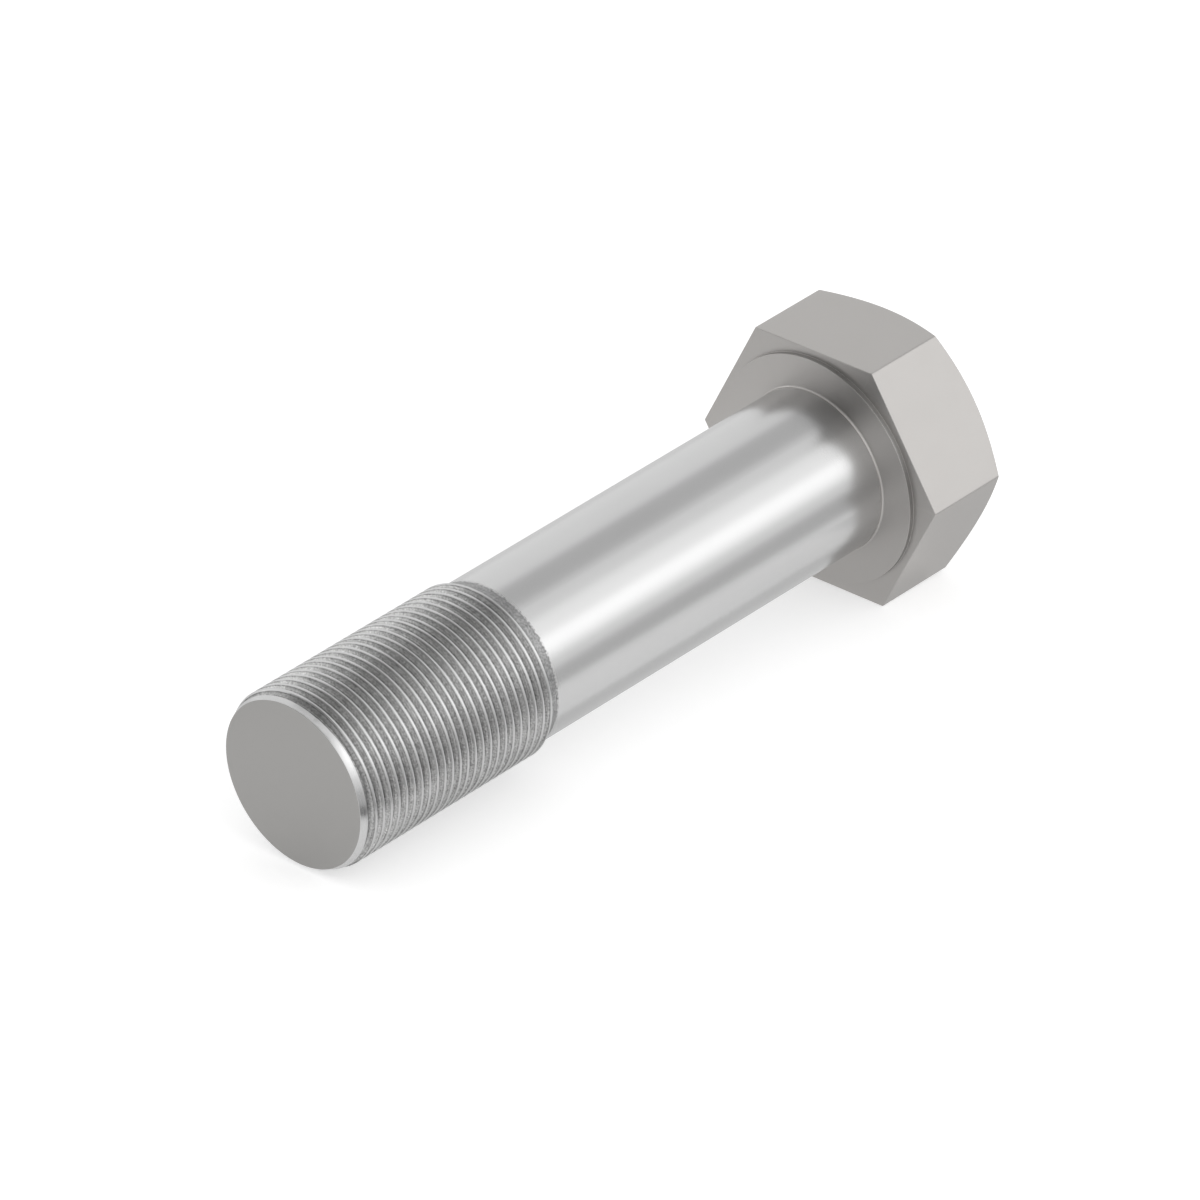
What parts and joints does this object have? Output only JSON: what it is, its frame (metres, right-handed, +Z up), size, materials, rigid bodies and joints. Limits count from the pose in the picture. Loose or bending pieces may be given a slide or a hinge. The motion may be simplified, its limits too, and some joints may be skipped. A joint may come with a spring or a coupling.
{
  "type": "hex head screw",
  "caption": "Hexagon head screw with a plain shank thinner than its fine-pitch threaded end, a raised washer face under the head and a chamfered tip, lying as it comes to rest.",
  "frame": {"origin": "on the table, under the middle of the lying screw's box", "axes": "+X from the tip towards the head, along the screw as it lies; +Z up; the screw's own axis leans 3.0 degrees, with its tip down"},
  "size_m": [0.124, 0.0438, 0.0387],
  "materials": {
    "steel": "bright turned shank, satin forged head, dull rolled thread"
  },
  "bodies": {
    "root": {"screw": "steel"}
  },
  "joints": []
}
